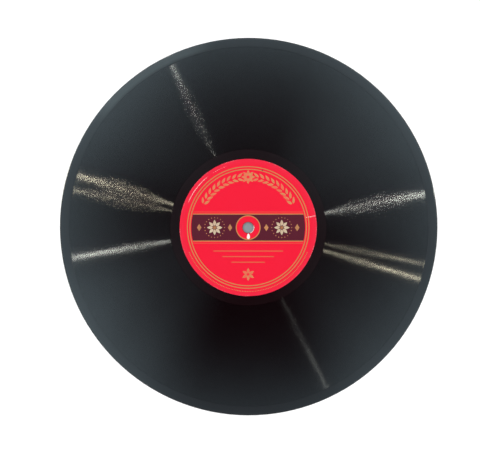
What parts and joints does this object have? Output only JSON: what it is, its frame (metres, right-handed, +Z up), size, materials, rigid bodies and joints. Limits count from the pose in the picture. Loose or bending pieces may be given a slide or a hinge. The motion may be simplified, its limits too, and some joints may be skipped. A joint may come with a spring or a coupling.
{
  "type": "shellac gramophone record",
  "caption": "Flat round shellac gramophone record with a spiral groove, rounded rim, spindle hole and red paper labels pressed flush into both faces.",
  "frame": {"origin": "centre of the spindle hole, in the plane of the lower face that the record rests on", "axes": "+Z up along the spindle hole, out of the front face; +Y towards the top of the front label's print; +X to its right"},
  "size_m": [0.25, 0.25, 0.0021],
  "materials": {
    "shellac": "black pressed shellac, glossy, finely grooved",
    "label_paper": "red printed paper, satin, with gilt rules"
  },
  "bodies": {
    "root": {"shellac_disc": "shellac", "front_label": "label_paper", "back_label": "label_paper"}
  },
  "joints": []
}
